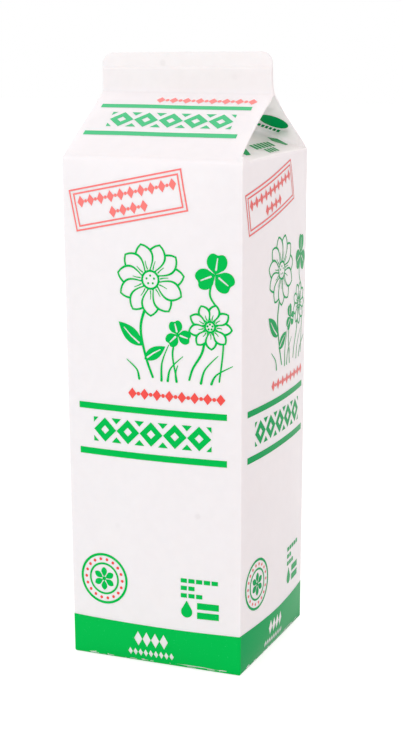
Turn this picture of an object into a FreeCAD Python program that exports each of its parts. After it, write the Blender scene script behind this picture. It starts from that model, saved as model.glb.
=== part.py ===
"""A one-litre gable-top drink carton, filled and closed.

The carton stands on the XY plane with +Z up. Its origin is the centre of the base, the sealed fin runs
along X, and the two roof panels face -Y and +Y. Lengths are millimetres.

One folded blank makes the whole carton, so it is one solid: a square body whose panels belly outwards
between their creases, a gable roof, the gussets folded in under the roof's two ends, the fin with its
thick folded part and its thinner lip, and the shallow hollow of the folded base.
"""
import FreeCAD, Part
import os

import Sketcher

DRIVING_SIZES = {
    "width": 70.0,            # between the vertical creases, along X
    "depth": 70.0,            # between the vertical creases, along Y
    "shoulder": 193.0,        # height of the crease where the roof starts
    "roof_rise": 22.0,        # from the shoulder to the foot of the fin
    "front_belly": 2.2,       # how far the panels below the roof swell
    "side_belly": 2.4,        # how far the panels below the gussets swell
    "foot_reach": 5.5,        # the swelling grows over about this height above the base
    "head_reach": 9.0,        # and dies away over about this height below the shoulder
    "board": 0.45,            # thickness of the coated board
    "fin_width": 69.2,        # along X
    "fold_height": 8.8,       # lower part of the fin, four boards thick
    "lip_height": 5.9,        # upper part of the fin, two boards thick
    "lip_corner": 4.3,        # corner radius of the lip
    "roof_edge": 1.7,         # level distance from the roof's surface to the gusset's hollow
    "gusset_lift": 16.5,      # height of the gusset's inner point above the shoulder
    "gusset_gap": 2.4,        # distance between the inner points of the two gussets
    "base_rim": 4.0,          # width of the rim that the carton stands on
    "base_hollow": 1.2,       # depth of the hollow inside that rim
}

# Heights at which the body's outline is drawn, as shares of the shoulder's height. They lie closest
# together where the panels curve in to the base and to the shoulder.
BODY_STATIONS = (0.0, 0.012, 0.03, 0.07, 0.14, 0.5, 0.82, 0.91, 0.96, 0.985, 1.0)
GUSSET_INNER_SHARE = 0.02     # the gusset's hollow ends in a triangle this small beside its mouth

doc = FreeCAD.newDocument("gable_top_carton")
sheet = doc.addObject("Spreadsheet::Sheet", "sizes")
for row, (alias, size) in enumerate(DRIVING_SIZES.items(), start=1):
    sheet.set(f"A{row}", alias)
    sheet.set(f"B{row}", str(size))
    sheet.setAlias(f"B{row}", alias)
doc.recompute()


def size_of(expression):
    """The plain number that an expression of the sheet's aliases comes to."""
    return float(sheet.evalExpression(expression.replace("sizes.", "")))


def origin_plane(role):
    """One of the carton body's own origin planes."""
    return next(item for item in carton.Origin.OriginFeatures if item.Role == role)


def new_sketch(name, role, offset="0"):
    """An empty sketch on an origin plane, moved along the plane's normal by an expression."""
    sketch = carton.newObject("Sketcher::SketchObject", name)
    sketch.AttachmentSupport = [(origin_plane(role), "")]
    sketch.MapMode = "FlatFace"
    sketch.setExpression("AttachmentOffset.Base.z", offset)
    return sketch


def constrain(sketch, *terms, name=None, expression=None):
    """Add one constraint. A dimension is named and driven by an expression of the sheet."""
    if expression is None:
        sketch.addConstraint(Sketcher.Constraint(*terms))
        return
    index = sketch.addConstraint(Sketcher.Constraint(*terms, size_of(expression)))
    sketch.renameConstraint(index, name)
    sketch.setExpression(f"Constraints.{name}", expression)


def add_closed_lines(sketch, corners):
    """Straight edges round the corners, joined end to start. Edge i starts at corner i."""
    ends = corners[1:] + corners[:1]
    for start, end in zip(corners, ends):
        sketch.addGeometry(Part.LineSegment(FreeCAD.Vector(*start, 0), FreeCAD.Vector(*end, 0)), False)
    for edge in range(len(corners)):
        constrain(sketch, "Coincident", edge, 2, (edge + 1) % len(corners), 1)


def draw_trapezoid(sketch, foot_width, top_width, foot_level, top_level):
    """A level foot and a level top, both centred on the sketch's upright axis."""
    foot, top = size_of(foot_width) / 2, size_of(top_width) / 2
    low, high = size_of(foot_level), size_of(top_level)
    add_closed_lines(sketch, [(-foot, low), (foot, low), (top, high), (-top, high)])
    for edge in (0, 2):
        constrain(sketch, "Symmetric", edge, 1, edge, 2, -2)
    constrain(sketch, "DistanceX", 0, 1, 0, 2, name="foot_width", expression=foot_width)
    constrain(sketch, "DistanceX", 2, 2, 2, 1, name="top_width", expression=top_width)
    constrain(sketch, "DistanceY", -1, 1, 0, 1, name="foot_level", expression=foot_level)
    constrain(sketch, "DistanceY", -1, 1, 2, 1, name="top_level", expression=top_level)


def draw_triangle(sketch, foot_width, foot_level, top_level):
    """A level foot centred on the sketch's upright axis, and a point above it on that axis."""
    foot, low, high = size_of(foot_width) / 2, size_of(foot_level), size_of(top_level)
    add_closed_lines(sketch, [(-foot, low), (foot, low), (0, high)])
    constrain(sketch, "Symmetric", 0, 1, 0, 2, -2)
    constrain(sketch, "PointOnObject", 2, 1, -2)
    constrain(sketch, "DistanceX", 0, 1, 0, 2, name="foot_width", expression=foot_width)
    constrain(sketch, "DistanceY", -1, 1, 0, 1, name="foot_level", expression=foot_level)
    constrain(sketch, "DistanceY", -1, 1, 2, 1, name="top_level", expression=top_level)


def draw_rectangle(sketch, across, along):
    """A rectangle centred on the sketch's origin."""
    x, y = size_of(across) / 2, size_of(along) / 2
    add_closed_lines(sketch, [(-x, -y), (x, -y), (x, y), (-x, y)])
    for edge in (0, 2):
        constrain(sketch, "Horizontal", edge)
    for edge in (1, 3):
        constrain(sketch, "Vertical", edge)
    constrain(sketch, "Symmetric", 0, 1, 2, 1, -1, 1)
    constrain(sketch, "DistanceX", 0, 1, 0, 2, name="across", expression=across)
    constrain(sketch, "DistanceY", 1, 1, 1, 2, name="along", expression=along)


def bulging_arc(start, end, swell):
    """The arc from start to end, anticlockwise about the origin, that stands out from its chord."""
    middle = (start + end) / 2
    outwards = middle / middle.Length
    return Part.Arc(start, middle + outwards * swell, end)


def draw_bellied_square(sketch, front_swell, side_swell):
    """The body's outline at one height: four arcs whose ends are the vertical creases."""
    x, y = size_of("width") / 2, size_of("depth") / 2
    creases = [FreeCAD.Vector(*place, 0) for place in ((-x, -y), (x, -y), (x, y), (-x, y))]
    swells = [front_swell, side_swell, front_swell, side_swell]
    for start, end, swell in zip(creases, creases[1:] + creases[:1], swells):
        sketch.addGeometry(bulging_arc(start, end, size_of(swell)), False)
    for edge in range(4):
        constrain(sketch, "Coincident", edge, 2, (edge + 1) % 4, 1)
    for edge in (0, 2):
        constrain(sketch, "Horizontal", edge, 1, edge, 2)
    constrain(sketch, "Vertical", 1, 1, 1, 2)
    constrain(sketch, "Symmetric", 0, 1, 2, 1, -1, 1)
    constrain(sketch, "DistanceX", 0, 1, 0, 2, name="width", expression="sizes.width")
    constrain(sketch, "DistanceY", 1, 1, 1, 2, name="depth", expression="sizes.depth")
    for edge, chord, swell in ((0, "sizes.width", front_swell), (1, "sizes.depth", side_swell)):
        radius = f"({chord} ^ 2 / 4 + ({swell}) ^ 2) / (2 * ({swell}))"
        constrain(sketch, "Radius", edge, name=f"belly_{edge}", expression=radius)
        constrain(sketch, "Equal", edge, edge + 2)


def swell_at(belly, share):
    """How far a panel stands out at a share of the shoulder's height, as an expression.

    The liquid fills the panels close down to the base crease, which stays straight, and close up to
    the shoulder crease.
    """
    above_foot = f"{share} * sizes.shoulder / sizes.foot_reach"
    below_head = f"{1 - share:.4f} * sizes.shoulder / sizes.head_reach"
    return f"sizes.{belly} * (1 - exp(-{above_foot})) * (1 - exp(-{below_head}))"


def add_body_panels():
    """The four panels between base and shoulder, through an outline at each station."""
    sketches = []
    for number, share in enumerate(BODY_STATIONS):
        sketch = new_sketch(f"outline_{number}", "XY_Plane", f"{share} * sizes.shoulder")
        if share in (0.0, 1.0):
            draw_rectangle(sketch, "sizes.width", "sizes.depth")
        else:
            draw_bellied_square(sketch, swell_at("front_belly", share), swell_at("side_belly", share))
        sketches.append(sketch)
    panels = carton.newObject("PartDesign::AdditiveLoft", "body_panels")
    panels.Profile = sketches[0]
    panels.Sections = sketches[1:]
    panels.Ruled = True
    return panels


def add_pad_along_x(name, sketch, length):
    """A pad of an upright outline, as far to -X as to +X."""
    pad = carton.newObject("PartDesign::Pad", name)
    pad.Profile = sketch
    pad.SideType = "Symmetric"
    pad.setExpression("Length", length)
    return pad


def add_roof():
    """The gable: two sloping panels from the shoulder to the foot of the fin."""
    sketch = new_sketch("gable", "YZ_Plane")
    draw_trapezoid(sketch, "sizes.depth", "4 * sizes.board", "sizes.shoulder",
                   "sizes.shoulder + sizes.roof_rise")
    add_pad_along_x("roof", sketch, "sizes.width")


def add_fin():
    """The fin's folded part, four boards thick, and its lip of two boards with round corners."""
    fold_foot = "sizes.shoulder + sizes.roof_rise"
    lip_foot = f"{fold_foot} + sizes.fold_height"
    fold = new_sketch("fold_section", "YZ_Plane")
    draw_trapezoid(fold, "4 * sizes.board", "4 * sizes.board", fold_foot, lip_foot)
    add_pad_along_x("fin_fold", fold, "sizes.fin_width")
    lip = new_sketch("lip_section", "YZ_Plane")
    draw_trapezoid(lip, "2 * sizes.board", "2 * sizes.board", lip_foot, f"{lip_foot} + sizes.lip_height")
    lip_pad = add_pad_along_x("fin_lip", lip, "sizes.fin_width")
    doc.recompute()
    round_lip_corners(lip_pad)


def round_lip_corners(lip_pad):
    """Round the two short edges at the ends of the lip's top."""
    top = lip_pad.Shape.BoundBox.ZMax
    corners = [
        f"Edge{number}"
        for number, edge in enumerate(lip_pad.Shape.Edges, start=1)
        if abs(edge.BoundBox.ZMin - top) < 1e-6 and edge.BoundBox.XLength < 1e-6
    ]
    rounding = carton.newObject("PartDesign::Fillet", "lip_corners")
    rounding.Base = (lip_pad, corners)
    rounding.setExpression("Radius", "sizes.lip_corner")


def gusset_section(name, share):
    """A triangle across the gusset's hollow: share 1 is its mouth, and share 0 its inner point."""
    inner = f"sizes.shoulder + {1 - share:.4f} * sizes.gusset_lift"
    reach = f"{share} * (sizes.width - sizes.gusset_gap) / 2"
    sketch = new_sketch(name, "YZ_Plane", f"sizes.gusset_gap / 2 + {reach}")
    mouth_rise = "(sizes.roof_rise * (1 - 2 * sizes.roof_edge / sizes.depth))"
    draw_triangle(sketch, f"{share} * (sizes.depth - 2 * sizes.roof_edge)", inner,
                  f"{inner} + {share} * {mouth_rise}")
    return sketch


def add_gusset_hollows():
    """The hollow under each end of the roof, between the infolded side panel and its two flanks."""
    mouth = gusset_section("gusset_mouth", 1.0)
    hollow = carton.newObject("PartDesign::SubtractiveLoft", "gusset_hollow")
    hollow.Profile = mouth
    hollow.Sections = [gusset_section("gusset_inner", GUSSET_INNER_SHARE)]
    hollow.Ruled = True
    doc.recompute()
    both = carton.newObject("PartDesign::Mirrored", "gusset_hollows")
    both.Originals = [hollow]
    both.MirrorPlane = (origin_plane("YZ_Plane"), [""])
    carton.Tip = both
    doc.recompute()


def add_base_hollow():
    """The folded base sits a little above the rim that the carton stands on."""
    sketch = new_sketch("base_inside_rim", "XY_Plane")
    draw_rectangle(sketch, "sizes.width - 2 * sizes.base_rim", "sizes.depth - 2 * sizes.base_rim")
    hollow = carton.newObject("PartDesign::Pocket", "base_hollow")
    hollow.Profile = sketch
    hollow.Reversed = True
    hollow.setExpression("Length", "sizes.base_hollow")


def check_document():
    """Stop if any object failed, or if the carton isn't one valid solid."""
    failed = [item.Name for item in doc.Objects if {"Invalid", "Error"} & set(item.State)]
    if failed:
        raise RuntimeError(f"these objects failed: {failed}")
    shape = carton.Shape
    if shape.isNull() or not shape.isValid() or len(shape.Solids) != 1:
        raise RuntimeError("the carton isn't one valid solid")


carton = doc.addObject("PartDesign::Body", "carton")
carton.Label = "carton"
add_body_panels()
add_roof()
add_fin()
add_gusset_hollows()
add_base_hollow()
doc.recompute()
check_document()

os.makedirs("parts", exist_ok=True)
carton.Shape.exportStep(f"parts/{carton.Label}.step")
bounds = carton.Shape.BoundBox
print(f"carton: {bounds.XLength:.2f} x {bounds.YLength:.2f} x {bounds.ZLength:.2f} mm,"
      f" {carton.Shape.Volume / 1000:.1f} ml")
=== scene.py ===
import math
import random

import bmesh
import bpy
from mathutils import Matrix, Vector
from mathutils.geometry import delaunay_2d_cdt


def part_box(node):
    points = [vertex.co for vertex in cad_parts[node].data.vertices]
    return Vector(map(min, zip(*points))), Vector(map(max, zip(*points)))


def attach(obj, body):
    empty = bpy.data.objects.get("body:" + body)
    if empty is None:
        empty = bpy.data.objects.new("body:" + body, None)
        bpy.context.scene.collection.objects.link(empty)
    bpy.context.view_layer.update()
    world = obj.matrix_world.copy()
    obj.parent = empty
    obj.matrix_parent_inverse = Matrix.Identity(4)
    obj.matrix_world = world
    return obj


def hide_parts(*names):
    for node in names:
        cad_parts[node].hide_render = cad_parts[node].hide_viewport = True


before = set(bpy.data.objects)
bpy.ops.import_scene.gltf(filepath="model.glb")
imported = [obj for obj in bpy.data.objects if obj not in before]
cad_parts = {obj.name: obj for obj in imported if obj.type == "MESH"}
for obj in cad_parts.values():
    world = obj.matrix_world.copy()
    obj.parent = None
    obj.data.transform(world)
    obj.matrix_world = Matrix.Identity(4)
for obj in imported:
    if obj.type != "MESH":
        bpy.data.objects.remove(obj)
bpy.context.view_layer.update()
bpy.context.scene.view_settings.view_transform = "Standard"

# --- sizes
# Lengths are millimetres until a mesh is made. The carton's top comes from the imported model, and the
# other sizes are the folded blank's own. Side 0 faces -Y, 1 faces +X, 2 faces +Y and 3 faces -X. On a
# side, "across" runs to the right as seen from outside, "out" away from the carton's axis, and "rise"
# along the blank from the base crease: up the wall, up the roof or the gusset, and up the fin.
MM = 0.001
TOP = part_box("carton")[1].z / MM

HALF = 35.0  # from the carton's axis to a wall, at the creases
BOARD = 0.45  # thickness of the coated board
ROOF_RISE = 22.0  # from the shoulder to the foot of the fin
FOLD_HEIGHT = 8.8  # lower part of the fin, four boards thick
LIP_HEIGHT = 5.9  # upper part of the fin, two boards thick
SHOULDER = TOP - LIP_HEIGHT - FOLD_HEIGHT - ROOF_RISE
FIN_FOOT = SHOULDER + ROOF_RISE
FOLD_TOP = FIN_FOOT + FOLD_HEIGHT
JOGGLE = 0.8  # height over which four boards pass into two
GUSSET_LIFT = 16.5  # height of the gusset's inner point above the shoulder
GUSSET_GAP = 2.4  # distance between the two gussets' inner points
BASE_RIM = 4.0
BASE_HOLLOW = 1.2

MAIN_BELLY = 2.15  # swelling of the walls below the roof panels
SIDE_BELLY = 2.3  # and of the walls below the gussets
FOOT_REACH = 5.5  # the swelling grows over about this height above the base
HEAD_REACH = 9.0  # and dies away over about this height below the shoulder
MAIN_HEAD_SHARE = 0.06  # share of the swelling that is left at the shoulder, on the front and back
SIDE_HEAD_SHARE = 0.42  # and on the sides
RIPPLES = ((0.05, 9.0, 23.0, 1.7), (0.04, 6.1, -15.0, 2.9), (0.03, 14.0, 8.7, 1.0))
RIPPLE_FOOT = 10  # the ripples die away over this height at a wall's foot
RIPPLE_HEAD = 8  # and over this height at a wall's or a roof panel's head

CORNER_RADIUS = 0.5  # of the upright creases
BASE_RADIUS = 0.8
SHOULDER_RADIUS = 1.2
SIDE_SHOULDER_RADIUS = 0.5  # of a side's shoulder crease, at its corners
SIDE_SHOULDER_CROWN = 0.4  # and what is added to it in the middle
FIN_FOOT_RADIUS = 1.1
JOGGLE_RADIUS = 0.5
FIN_HALF = 34.1  # half the fin's length
LIP_CORNER = 4.3  # radius of the lip's corners
LIP_EDGE = 0.08  # rounding of the lip's raw edge
LIP_GROOVE = 0.14  # depth of the line between the lip's two boards

VALLEY_REACH = 4.0  # the gusset's inner creases are rounded within this distance
VALLEY_DEPTH = 0.46  # stand-off at the crease, as a share of that distance
VALLEY_EASE = 5  # the rounding grows over one part in this many of the crease, at each end
VALLEY_WAY = (0.67, 0.74, 0.08)  # across, out and up, along the middle of the fold
TRIANGLE_LEAN = 0.73  # distance from the inner crease for each unit across the triangle
FLANK_LEAN = 0.81  # and for each unit across the flank
FLANK_SAG = 0.125  # the middle of a flank hangs this far below its edges
SAG_WAY = (-0.54, -0.84)  # out and up, square to the flank
CORNER_LIFT = 2.2  # the right side's shoulder crease rises to the front corner
CORNER_LIFT_REACH = 7.0  # over this distance
CORNER_LIFT_FOOT = 6  # and the wall below it over this height
SPREAD = 0.012  # the filled walls spread across the front, as a share of their width
BASE_SPREAD = 0.5  # share of the spread at the base
SPREAD_REACH = 60  # and the height by which it is whole
FIN_SHIFT = 0.7  # the fin sits this far to the left
FIN_TILT = 0.016  # rise of the fin for each unit to the right
ROOF_TILT = 0.0035  # and fall of the roof

WALL_EDGE = HALF - CORNER_RADIUS
FOLD_EDGE = FIN_HALF - BOARD
ROOF_SLOPE = math.hypot(HALF - 2 * BOARD, ROOF_RISE)
GUSSET_SLOPE = math.hypot(HALF - GUSSET_GAP / 2, GUSSET_LIFT)
FRONT, RIGHT, BACK, LEFT = range(4)
BOW_POWER = 0.4  # below 1, it puts the roof edges' bow nearer the shoulder than the fin
FLARE_BELOW = 12  # the roof edges' flare grows over this distance below the fin's foot
FLARE_ABOVE = 2.5  # and dies away over this distance above it
TURN_REACH = 5  # above the shoulder, a crease turns from the wall's way to the roof's over this
RIDGE_REACH = 3  # and to the level over this distance below the ridge
# By panel and hand: how far each roof edge bows inwards, and how far it flares by the fin.
EDGE_BOW = {(FRONT, 1): 1.65, (FRONT, -1): -0.25, (BACK, 1): 0.3, (BACK, -1): -0.25}
EDGE_FLARE = {(FRONT, 1): 0.8, (FRONT, -1): 0.0, (BACK, 1): 0.0, (BACK, -1): 0.8}


def turned(side, across, out, up):
    """A place in a side's own directions, in the carton's axes."""
    x, y = ((across, -out), (out, across), (-across, out), (-out, -across))[side]
    return Vector((x, y, up))


def smooth_step(share):
    """0 up to share 0, 1 from share 1, and a smooth rise between them."""
    share = min(max(share, 0.0), 1.0)
    return share * share * (3 - 2 * share)


# --- the blank's upright outlines
def rounded_path(corners, radii):
    """The straight runs between corners and the arcs that round the inner ones.

    Each is its start along the path, its length, its first place, its heading and how far it turns.
    """
    corners = [Vector(corner) for corner in corners]
    headings = [math.atan2((end - start).y, (end - start).x) for start, end in zip(corners, corners[1:])]
    turns = [0.0, *(after - before for before, after in zip(headings, headings[1:])), 0.0]
    trims = [abs(radius * math.tan(turn / 2)) for radius, turn in zip([0.0, *radii, 0.0], turns)]
    pieces = []
    mark = 0.0
    for index, heading in enumerate(headings):
        start, end = corners[index], corners[index + 1]
        length = (end - start).length
        along = (end - start) / length
        before, after = trims[index], trims[index + 1]
        pieces.append((mark + before, length - before - after, start + along * before, heading, 0.0))
        mark += length
        if after:
            pieces.append((mark - after, 2 * after, end - along * after, heading, turns[index + 1]))
    return pieces


def path_place(pieces, distance):
    """The place and the heading at a distance measured along the path's sharp corners."""
    start, length, place, heading, turn = next(
        (piece for piece in reversed(pieces) if piece[0] <= distance), pieces[0])
    if not turn:
        return place + Vector((math.cos(heading), math.sin(heading))) * (distance - start), heading
    bend = turn * min((distance - start) / length, 1.0)
    radius = length / 2 / math.tan(turn / 2)
    centre = place + radius * Vector((-math.sin(heading), math.cos(heading)))
    heading += bend
    return centre + radius * Vector((math.sin(heading), -math.cos(heading))), heading


MAIN_PATH = rounded_path(
    [(HALF - BASE_RIM, 0), (HALF, 0), (HALF, SHOULDER), (2 * BOARD, FIN_FOOT), (2 * BOARD, FOLD_TOP),
     (BOARD, FOLD_TOP + JOGGLE), (BOARD, TOP)],
    [BASE_RADIUS, SHOULDER_RADIUS, FIN_FOOT_RADIUS, JOGGLE_RADIUS, JOGGLE_RADIUS])
RISE_FIN = SHOULDER + ROOF_SLOPE
RISE_FOLD = RISE_FIN + FOLD_HEIGHT
RISE_LIP = RISE_FOLD + math.hypot(BOARD, JOGGLE)
RISE_TOP = RISE_LIP + LIP_HEIGHT - JOGGLE - LIP_EDGE
RISE_ROUND = RISE_TOP - LIP_CORNER
RISE_RIDGE = RISE_FIN + 1.0  # where the roof's folded edges stand upright and touch


def settled(place):
    """A place in the carton as it has settled: the walls spread, and the fin sits to the left and tilts."""
    raised = smooth_step((place.z - SHOULDER) / ROOF_RISE)
    tilt = smooth_step((place.z - FIN_FOOT) / (TOP - FIN_FOOT)) * FIN_TILT - raised * ROOF_TILT
    spread = BASE_SPREAD + (1 - BASE_SPREAD) * smooth_step(place.z / SPREAD_REACH)
    spread = SPREAD * spread * (1 - raised)
    x = place.x * (1 + spread) - FIN_SHIFT * raised
    return Vector((x, place.y, place.z + place.x * tilt))


def ripple(side, across, rise):
    """The faint unevenness of filled board. Each ripple is a height, two wavelengths and a phase."""
    return sum(height * math.sin(across / level_wave + rise / upright_wave + side * phase)
               for height, level_wave, upright_wave, phase in RIPPLES)


def belly_share(height, head_share):
    """The swelling's share at a height: none at the base, and head_share at the shoulder."""
    height = min(max(height, 0.0), SHOULDER)
    foot = 1 - math.exp(-height / FOOT_REACH)
    head = 1 - (1 - head_share) * math.exp((height - SHOULDER) / HEAD_REACH)
    return foot * head


SCORE_RISE = SHOULDER + 1.9  # a second, fainter score line on the roof panels
SCORE_DEPTH = 0.10
SCORE_WIDTH = 0.35


def main_edge(side, hand, rise):
    """How far the front or back reaches to one hand before the board turns round its corner."""
    if rise <= SHOULDER:
        return WALL_EDGE
    share = min((rise - SHOULDER) / ROOF_SLOPE, 1.0)
    roof = WALL_EDGE + share * (FOLD_EDGE - WALL_EDGE)
    roof -= EDGE_BOW[side, hand] * math.sin(math.pi * share ** BOW_POWER)
    past = rise - RISE_FIN
    flare = math.exp(-past / FLARE_ABOVE) if past > 0 else math.exp(-(past / FLARE_BELOW) ** 2)
    roof += EDGE_FLARE[side, hand] * flare
    lip = FIN_HALF - LIP_EDGE - roof
    reach = roof + lip * smooth_step((rise - RISE_FOLD) / (RISE_LIP - RISE_FOLD))
    if rise > RISE_ROUND:
        reach -= LIP_CORNER - math.sqrt(max(LIP_CORNER ** 2 - (rise - RISE_ROUND) ** 2, 0.0))
    return reach


def main_place(side, across, rise):
    """A place on the front or the back: its wall, its roof panel and its face of the fin."""
    place, heading = path_place(MAIN_PATH, rise + BASE_RIM)
    crown = 1 - (across / HALF) ** 2
    swell = MAIN_BELLY * belly_share(place.y, MAIN_HEAD_SHARE) * crown
    if rise > SHOULDER:
        swell = MAIN_BELLY * MAIN_HEAD_SHARE * crown * math.exp((SHOULDER - rise) / HEAD_REACH)
    fades = smooth_step(rise / RIPPLE_FOOT) * smooth_step((RISE_FIN - rise) / RIPPLE_HEAD)
    swell += fades * (1 - (across / HALF) ** 4) * ripple(side, across, rise)
    swell -= SCORE_DEPTH * math.exp(-((rise - SCORE_RISE) / SCORE_WIDTH) ** 2)
    out = place.x + swell * math.sin(heading)
    up = place.y - swell * math.cos(heading)
    return settled(turned(side, across, out, up))


def valley(share, distance):
    """How far the board stands off the gusset's inner crease, which it rounds rather than follows."""
    reach = VALLEY_REACH * min(1.0, VALLEY_EASE * share, VALLEY_EASE * (1 - share))
    if distance >= reach:
        return 0.0
    return VALLEY_DEPTH * reach * (1 - distance / reach) ** 2


def corner_lift(side, across):
    """How far the right side's shoulder crease is pulled up beside the front corner."""
    if side != RIGHT:
        return 0.0
    return CORNER_LIFT * max(0.0, 1 - (WALL_EDGE + across) / CORNER_LIFT_REACH)


def side_place(side, across, rise, rounded=True):
    """A place on the right or left: its wall, and the gusset's triangle above it.

    rounded is whether the triangle rounds the gusset's inner creases.
    """
    share = min(max((rise - SHOULDER) / GUSSET_SLOPE, 0.0), 1.0)
    reach = WALL_EDGE * (1 - share)
    part = min(abs(across) / reach, 1.0) if reach > 1e-6 else 1.0
    crown = 1 - part ** 2
    path = rounded_path(
        [(HALF - BASE_RIM, 0), (HALF, 0), (HALF, SHOULDER), (GUSSET_GAP / 2, SHOULDER + GUSSET_LIFT)],
        [BASE_RADIUS, SIDE_SHOULDER_RADIUS + SIDE_SHOULDER_CROWN * crown])
    place, heading = path_place(path, rise + BASE_RIM)
    swell = SIDE_BELLY * belly_share(rise, SIDE_HEAD_SHARE) * crown * (1 - share) ** 2
    fades = smooth_step(rise / RIPPLE_FOOT) * smooth_step((SHOULDER - rise) / RIPPLE_HEAD)
    swell += fades * crown * ripple(side, across, rise)
    out = place.x + swell * math.sin(heading)
    up = place.y - swell * math.cos(heading)
    lift = corner_lift(side, across)
    if rise > SHOULDER:
        up = max(up, SHOULDER + lift)
        stand_off = valley(share, (reach - abs(across)) * TRIANGLE_LEAN) if rounded else 0.0
        across -= math.copysign(VALLEY_WAY[0], across) * stand_off
        out += VALLEY_WAY[1] * stand_off
        up += VALLEY_WAY[2] * stand_off
    else:
        up += lift * smooth_step((rise - SHOULDER + CORNER_LIFT_FOOT) / CORNER_LIFT_FOOT)
    return settled(turned(side, across, out, up))


def neighbour(main, hand):
    """The side that meets the front or back at its right (hand 1) or left (hand -1) corner."""
    return (main + hand) % 4


def lifted(place_at, facing, lift, *where, step=0.05):
    """A place raised by lift along the surface's normal on its facing side."""
    place = place_at(*where)
    if not lift:
        return place
    *fixed, first, second = where
    along_first = place_at(*fixed, first + step, second) - place_at(*fixed, first - step, second)
    along_second = place_at(*fixed, first, second + step) - place_at(*fixed, first, second - step)
    normal = along_first.cross(along_second).normalized()
    if normal.dot(facing) < 0:
        normal = -normal
    return place + normal * lift


def on_main(side, share, rise, lift=0.0):
    """A place on the front or back, or lift above it. share 1 is its right edge, and -1 its left."""
    across = share * main_edge(side, 1 if share > 0 else -1, rise)
    return lifted(main_place, turned(side, 0, 1, 0.3), lift, side, across, rise)


def edge_under(main, hand, rise):
    """The inner end of the board's turn round an upright crease, the roof's edge or the fin's end."""
    if rise <= SHOULDER:
        return side_place(neighbour(main, hand), -hand * WALL_EDGE, rise)
    start = on_main(main, hand, rise)
    if rise >= RISE_RIDGE:
        return Vector((start.x, 0.0, start.z))
    heading = path_place(MAIN_PATH, rise + BASE_RIM)[1]
    inward = turned(main, 0, -math.sin(heading), math.cos(heading)) * 2 * BOARD
    corner = side_place(neighbour(main, hand), -hand * WALL_EDGE, SHOULDER)
    first = corner - on_main(main, hand, SHOULDER)
    near_ridge = smooth_step((rise - RISE_RIDGE + RIDGE_REACH) / RIDGE_REACH)
    inward = inward.lerp(Vector((0, -start.y, 0)), near_ridge)
    return start + first.lerp(inward, smooth_step((rise - SHOULDER) / TURN_REACH))


def flank_place(main, hand, inward, share):
    """A place on a gusset's flank, from the roof's folded edge (inward 0) to the inner crease (1)."""
    edge = edge_under(main, hand, SHOULDER + share * (RISE_RIDGE - SHOULDER))
    side = neighbour(main, hand)
    reach = WALL_EDGE * (1 - share)
    crease = side_place(side, -hand * reach, SHOULDER + share * GUSSET_SLOPE, rounded=False)
    sag = 16 * inward * (1 - inward) * share * (1 - share)
    stand_off = valley(share, (1 - inward) * (crease - edge).length * FLANK_LEAN)
    across, out, up = VALLEY_WAY
    return (edge.lerp(crease, inward) + turned(main, 0, *SAG_WAY) * (FLANK_SAG * sag)
            + turned(side, hand * across, out, up) * stand_off)


def side_lifted(side, across, rise, lift):
    """A place above the right or left."""
    return lifted(side_place, turned(side, 0, 1, 0.6), lift, side, across, rise)


def flank_lifted(main, hand, inward, share, lift):
    """A place off a flank, on the side that faces down into the gusset."""
    return lifted(flank_place, Vector((0, 0, -1)), lift, main, hand, inward, share, step=0.004)


# --- turns of the board
TURN_STEPS = 6  # faces round each turn


def bent_row(start, leave, end, arrive):
    """Places round a smooth turn. leave and arrive point out of the surfaces at its two ends."""
    bend = math.acos(max(-1.0, min(1.0, -leave.dot(arrive))))
    pull = (end - start).length * 2 / 3 * math.tan(bend / 4) / max(math.sin(bend / 2), 1e-6)
    handles = start + leave * pull, end + arrive * pull
    return [start * (1 - t) ** 3 + handles[0] * 3 * t * (1 - t) ** 2
            + handles[1] * 3 * t ** 2 * (1 - t) + end * t ** 3
            for t in (step / TURN_STEPS for step in range(TURN_STEPS + 1))]


def raw_row(start, end, outward):
    """As many places as in a bent row, across the lip's raw edge from its face to the other board."""
    shares = (0.0, 0.08, 0.3, 0.55, 0.75, 0.9, 1.0)
    proud = (0.0, LIP_EDGE, LIP_EDGE, LIP_EDGE, LIP_EDGE * 0.9, 0.0, -LIP_GROOVE)
    return [start.lerp(end, share) + outward * height for share, height in zip(shares, proud)]


def turn_row(main, hand, rise, lift=0.0):
    """Places round the board's turn at one rise, from the front or back to the board beside it."""
    start = on_main(main, hand, rise, lift)
    leave = turned(main, hand, 0, 0)
    side = neighbour(main, hand)
    wall_end = turned(side, -hand, 0, 0)
    if rise <= SHOULDER:
        return bent_row(start, leave, side_lifted(side, -hand * WALL_EDGE, rise, lift), wall_end)
    under = edge_under(main, hand, rise)
    arrive = wall_end.lerp(leave, smooth_step((rise - SHOULDER) / TURN_REACH)).normalized()
    folded = bent_row(start, leave, under, arrive)
    if rise <= RISE_FOLD:
        return folded
    lean = math.asin(min(max(rise - RISE_ROUND, 0.0) / LIP_CORNER, 1.0))
    outward = leave * math.cos(lean) + Vector((0, 0, math.sin(lean)))
    raw = raw_row(start, under, outward)
    share = smooth_step((rise - RISE_FOLD) / (RISE_LIP - RISE_FOLD))
    return [fold.lerp(flat, share) for fold, flat in zip(folded, raw)]


# --- levels and columns
def graded(start, end, step, closing=0.75):
    """Levels from start to end, about step apart and closer together towards both ends."""
    count = max(2, math.ceil((end - start) / step))
    shares = [index / count for index in range(count + 1)]
    return [start + (end - start) * (share - closing * math.sin(2 * math.pi * share) / (2 * math.pi))
            for share in shares]


def even(start, end, count):
    """Levels from start to end in count equal steps."""
    return [start + (end - start) * index / count for index in range(count + 1)]


def joined(*runs):
    """Runs of levels in a row, without the doubled ends."""
    levels = list(runs[0])
    for run in runs[1:]:
        levels += [level for level in run if level > levels[-1] + 1e-6]
    return levels


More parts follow.
